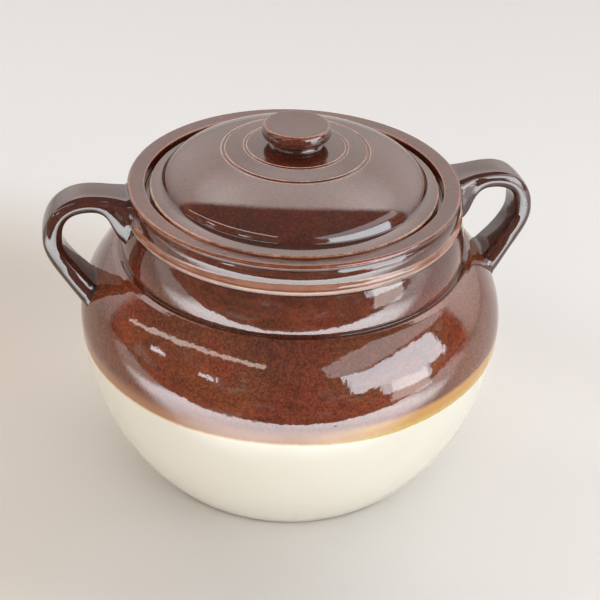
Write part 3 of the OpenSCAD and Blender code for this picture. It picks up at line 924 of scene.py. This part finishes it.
# %% Glaze: the edges
edge_break, given, put = new_group(
    "edge break",
    [("Blunt", "Float", 0.3), ("Sharp", "Float", 0.9)],
    [("Thin", "Float"), ("Pooled", "Float")],
)
where = node(edge_break, "TexCoord").outputs["Object"]
bend = node(edge_break, "Attribute", attribute_name="bend").outputs["Fac"]
uneven = maths(edge_break, "MULTIPLY_ADD", lumps(edge_break, where, 160, 3, 0.6), 0.9, 0.1)
uneven = maths(edge_break, "MULTIPLY_ADD", lumps(edge_break, where, 24, 2, 0.5), 0.9, uneven)
sharpness = maths(edge_break, "MULTIPLY", bend, uneven)
edge_break.links.new(fade(edge_break, sharpness, given["Blunt"], given["Sharp"]), put["Thin"])
edge_break.links.new(fade(edge_break, maths(edge_break, "MULTIPLY", bend, -1.0), 0.05, 0.5), put["Pooled"])
print("group:", edge_break.name, len(edge_break.nodes), "nodes")

# %% [markdown]
# ## The glaze's skin
# A dipped glaze isn't flat. It sags in soft waves, ripples, follows the turner's fine lines, and holds a few
# pits where bubbles burst. These are too fine for the mesh, so they are heights, in metres, for a Bump node.

# %% Glaze: its skin
glaze_skin, given, put = new_group(
    "glaze skin",
    [("Sag", "Float", 0.0002), ("Waves", "Float", 0.00008), ("Ripple", "Float", 0.00002),
     ("Turning", "Float", 0.000004), ("Pits", "Float", 0.00006)],
    [("Height", "Float"), ("Pit", "Float")],
)
where = node(glaze_skin, "TexCoord").outputs["Object"]
relief = maths(glaze_skin, "MULTIPLY", lumps(glaze_skin, where, 40, 1, 0.4), given["Sag"])
relief = maths(glaze_skin, "MULTIPLY_ADD", lumps(glaze_skin, where, 115, 2, 0.5), given["Waves"], relief)
relief = maths(glaze_skin, "MULTIPLY_ADD", lumps(glaze_skin, where, 420, 2, 0.5), given["Ripple"], relief)
turning = lumps(glaze_skin, times(glaze_skin, where, (0.03, 0.03, 1)), 420, 2, 0.5)
relief = maths(glaze_skin, "MULTIPLY_ADD", turning, given["Turning"], relief)
cells = node(glaze_skin, "TexVoronoi", {"Vector": where, "Scale": 48.0}).outputs
lot = node(glaze_skin, "SeparateXYZ", {0: cells["Color"]}).outputs["X"]
chosen = maths(glaze_skin, "GREATER_THAN", lot, 0.6)
pit = maths(glaze_skin, "MULTIPLY", fade(glaze_skin, cells["Distance"], 0.02, 0.07, 1.0, 0.0), chosen)
relief = maths(glaze_skin, "SUBTRACT", relief, maths(glaze_skin, "MULTIPLY", pit, given["Pits"]))
glaze_skin.links.new(relief, put["Height"])
glaze_skin.links.new(pit, put["Pit"])
print("group:", glaze_skin.name, len(glaze_skin.nodes), "nodes")

# %% [markdown]
# ## Bare clay
# Where a piece stands in the kiln it is wiped clean of glaze, and the rough, tan, grainy clay shows.

# %% Glaze: bare clay
CLAY, CLAY_DARK = (0.55, 0.43, 0.31, 1), (0.42, 0.32, 0.22, 1)
bare_clay, given, put = new_group(
    "bare clay",
    [("Bare", "Float", 0.0), ("Glaze", "Color", (1, 1, 1, 1)), ("Gloss", "Float", 0.06)],
    [("Color", "Color"), ("Roughness", "Float")],
)
where = node(bare_clay, "TexCoord").outputs["Object"]
grain = blend(bare_clay, lumps(bare_clay, where, 900, 3, 0.6), CLAY_DARK, CLAY)
bare_clay.links.new(blend(bare_clay, given["Bare"], given["Glaze"], grain), put["Color"])
bare_clay.links.new(fade(bare_clay, given["Bare"], 0, 1, given["Gloss"], 0.85), put["Roughness"])
print("group:", bare_clay.name, len(bare_clay.nodes), "nodes")

# %% [markdown]
# ## A band between two heights
# What happened on the wheel or in the kiln is often level: a wiped flange, the top of a ridge that caught less
# glaze.
# A pale line painted as the ridge's highlight below it is level too. One mask serves them all. Its heights, and
# how softly it ends, are in metres.

# %% Glaze: a level band
height_band, given, put = new_group(
    "height band",
    [("Low", "Float", 0.0), ("High", "Float", 0.1), ("Soft", "Float", 0.0002)],
    [("Mask", "Float")],
)
where = node(height_band, "TexCoord").outputs["Object"]
z = node(height_band, "SeparateXYZ", {0: where}).outputs["Z"]
low_out, low_in, high_in, high_out = (
    maths(height_band, operation, given[side], given["Soft"])
    for side in ("Low", "High") for operation in ("SUBTRACT", "ADD"))
over = fade(height_band, z, low_out, low_in)
under = fade(height_band, z, high_in, high_out, 1.0, 0.0)
height_band.links.new(maths(height_band, "MULTIPLY", over, under), put["Mask"])
print("group:", height_band.name, len(height_band.nodes), "nodes")

# %% [markdown]
# ## The brown pieces
# The lid, the knob and the handles share one recipe with their own measures. On the lid the glaze breaks most,
# at its turned lines and its rim. On the handles it lies thick and dark. A clear coat over a dull brown would
# give gloss too, but glaze is one glassy layer, so gloss and colour are set on the same shader.

# %% Glaze: the brown pieces
GLAZE_IOR = 1.75


def finish_glaze(tree, shader, colour, height, roughness):
    """What all glazes share: a hard glassy surface with the slight unevenness of a fired one."""
    bump = node(tree, "Bump", {"Height": height, "Distance": 1.0, "Strength": 1.0})
    tree.links.new(bump.outputs[0], shader.inputs["Normal"])
    tree.links.new(colour, shader.inputs["Base Color"])
    tree.links.new(roughness, shader.inputs["Roughness"])
    shader.inputs["IOR"].default_value = GLAZE_IOR


def brown_material(name, thinness, cloud, speckle, blunt, sharp, thin_gain, skin_values,
                   bare_from=-1.0, bare_to=-0.9):
    """Brown glaze over a whole piece, but for bare clay between two heights."""
    material, tree, shader = new_material(name)
    edges = use(tree, edge_break, Blunt=blunt, Sharp=sharp)
    skin = use(tree, glaze_skin, **skin_values)
    thin = maths(tree, "MULTIPLY_ADD", edges["Thin"], thin_gain, thinness)
    thin = maths(tree, "MULTIPLY_ADD", edges["Pooled"], -0.3, thin)
    thin = maths(tree, "MULTIPLY_ADD", skin["Pit"], -0.2, thin, clamp=True)
    glaze = use(tree, brown_glaze, Thinness=thin, Cloud=cloud, Speckle=speckle, Redness=0.5)
    gloss = fade(tree, glaze["Thinness"], 0.2, 0.9, 0.06, 0.2)
    wiped = use(tree, height_band, Low=bare_from, High=bare_to)["Mask"]
    surface = use(tree, bare_clay, Bare=wiped, Glaze=glaze["Color"], Gloss=gloss)
    finish_glaze(tree, shader, surface["Color"], skin["Height"], surface["Roughness"])
    return material


LID_SKIN = dict(Sag=0.00016, Waves=0.00004, Ripple=0.000012, Turning=0.000004, Pits=0.00004)
STRAP_SKIN = dict(Sag=0.0002, Waves=0.00006, Ripple=0.00001, Turning=0.0, Pits=0.0)
lid_glaze = brown_material("lid glaze", 0.26, 0.26, 0.18, 0.25, 0.85, 0.72, LID_SKIN,
                           (flange_z - 0.3) * MM, (flange_z + 0.3) * MM)
strap_glaze = brown_material("handle glaze", 0.14, 0.22, 0.12, 0.1, 0.5, 0.30, STRAP_SKIN)
lid.data.materials.append(lid_glaze)
knob.data.materials.append(lid_glaze)
for strap in (handle_left, handle_right):
    strap.data.materials.append(strap_glaze)
print("glazed brown:", [piece.name for piece in (lid, knob, handle_left, handle_right)])

# %% [markdown]
# ## Two glazes on the pot
# The pot is dipped in cream glaze first. Then its upper half is dipped in brown, down to a line below its
# widest part. The brown runs and thins out at the line, so the cream shines through it as a band, golden on
# the right and terracotta on the left. The foot ring is wiped clean, or the pot would stick to the kiln's
# shelf. Both glazes are in one material, because a height on the pot divides them and no edge does.

# %% Pot: its finish
GLAZE_LINE = 0.0832
# The first pair of heights is glaze broken thin on the ridge's top. The second is the ridge's lower rounding,
# where a painted highlight goes.
FLARE, RIDGE_HIGHLIGHT_Z = (0.1560, 0.1588), (0.1534, 0.1554)
RIDGE_TAN, RIDGE_PAINTED_HIGHLIGHT = (0.36, 0.17, 0.105, 1), (0.56, 0.41, 0.33, 1)
CREAM, CREAM_THIN = (0.82, 0.815, 0.71, 1), (0.80, 0.78, 0.655, 1)
GOLD, GOLD_RIM = (0.55, 0.285, 0.055, 1), (0.60, 0.41, 0.085, 1)
TERRACOTTA, TERRACOTTA_RIM = (0.38, 0.18, 0.09, 1), (0.74, 0.55, 0.24, 1)
POT_SKIN = dict(Sag=0.0003, Waves=0.00013, Ripple=0.00003, Pits=0.00008)

pot_glaze, tree, shader = new_material("pot glazes")
where = node(tree, "TexCoord").outputs["Object"]
axes = node(tree, "SeparateXYZ", {0: where}).outputs
wander = maths(tree, "MULTIPLY", maths(tree, "SUBTRACT", lumps(tree, where, 9, 2, 0.5), 0.5), 0.004)
ragged = maths(tree, "SUBTRACT", lumps(tree, where, 300, 3, 0.6), 0.5)
wander = maths(tree, "MULTIPLY_ADD", ragged, 0.0011, wander)
wander = maths(tree, "SUBTRACT", wander, fade(tree, axes["X"], 0.02, 0.09, 0.0, 0.0014))
above = maths(tree, "SUBTRACT", maths(tree, "ADD", axes["Z"], wander), GLAZE_LINE)
drift = maths(tree, "SUBTRACT", lumps(tree, where, 14, 3, 0.5), 0.5)
gold_side = fade(tree, maths(tree, "MULTIPLY_ADD", drift, 0.08, axes["X"]), -0.03, 0.05)

# %% Pot: the band where the glazes meet
left_band = blend(tree, fade(tree, above, 0.0003, 0.0020), TERRACOTTA_RIM, TERRACOTTA)
streaks = maths(tree, "MULTIPLY_ADD", ragged, 0.005, above)
right_band = blend(tree, fade(tree, streaks, 0.0006, 0.0050), GOLD_RIM, GOLD)
band = blend(tree, gold_side, left_band, right_band)
cream = blend(tree, maths(tree, "MULTIPLY_ADD", drift, 0.8, 0.3, clamp=True), CREAM, CREAM_THIN)
colour = blend(tree, fade(tree, above, 0.0, 0.0006), cream, band)
brown_from = fade(tree, gold_side, 0, 1, 0.0025, 0.0078)
brown_to = fade(tree, gold_side, 0, 1, 0.0125, 0.0112)
brown_share = fade(tree, above, brown_from, brown_to)
print(f"glaze line {GLAZE_LINE / MM:.1f} mm up")

# %% Pot: both glazes and the bare clay
edges = use(tree, edge_break, Blunt=0.3, Sharp=1.0)
skin = use(tree, glaze_skin, Turning=maths(tree, "MULTIPLY", brown_share, 0.000004), **POT_SKIN)
upper = fade(tree, axes["Z"], 0.130, 0.150)
thin = maths(tree, "MULTIPLY_ADD", edges["Thin"], 0.45, maths(tree, "MULTIPLY_ADD", upper, -0.11, 0.41))
thin = maths(tree, "MULTIPLY_ADD", edges["Pooled"], -0.2, thin)
thin = maths(tree, "MULTIPLY_ADD", skin["Pit"], 0.2, thin, clamp=True)
glaze = use(tree, brown_glaze, Thinness=thin, Cloud=0.28, Redness=0.55,
            Speckle=maths(tree, "MULTIPLY_ADD", upper, -0.11, 0.24))
patchy = fade(tree, lumps(tree, where, 70, 3, 0.6), 0.25, 0.60, 0.55, 1.0)
flare_band = use(tree, height_band, Low=FLARE[0], High=FLARE[1], Soft=0.0006)["Mask"]
flared = maths(tree, "MULTIPLY", flare_band, patchy)
brown = blend(tree, flared, glaze["Color"], RIDGE_TAN)
# Painted highlight: a pale pink line on the ridge's lower rounding, where the glaze mirrors the light.
ridge_highlight_band = use(tree, height_band, Low=RIDGE_HIGHLIGHT_Z[0], High=RIDGE_HIGHLIGHT_Z[1], Soft=0.0003)["Mask"]
ridge_highlight = maths(tree, "MULTIPLY", ridge_highlight_band, patchy)
brown = blend(tree, ridge_highlight, brown, RIDGE_PAINTED_HIGHLIGHT)
colour = blend(tree, brown_share, colour, brown)
foot_ring = fade(tree, axes["Z"], 0.0006, 0.0012, 1.0, 0.0)
surface = use(tree, bare_clay, Bare=foot_ring, Glaze=colour, Gloss=0.06)
finish_glaze(tree, shader, surface["Color"], skin["Height"], surface["Roughness"])
pot.data.materials.append(pot_glaze)
print("glazed in two colours:", pot.name)

# %% [markdown]
# ## Joining the frame
# Each piece rides on a body of the imported model, so that the lid and its knob lift off together and the
# handles stay with the pot. The CAD node that each piece stands for is hidden.

# %% Joining the frame
for piece, body, slot, node_name in (
    (pot, "pot", "stoneware_two_glaze", "pot_body"),
    (handle_left, "pot", "brown_glaze", "handle_left"),
    (handle_right, "pot", "brown_glaze", "handle_right"),
    (lid, "lid", "brown_glaze", "lid"),
    (knob, "lid", "brown_glaze", "knob"),
):
    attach(piece, body)
    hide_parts(node_name)
    print(f"{piece.name} rides on {body} and stands for {node_name}")
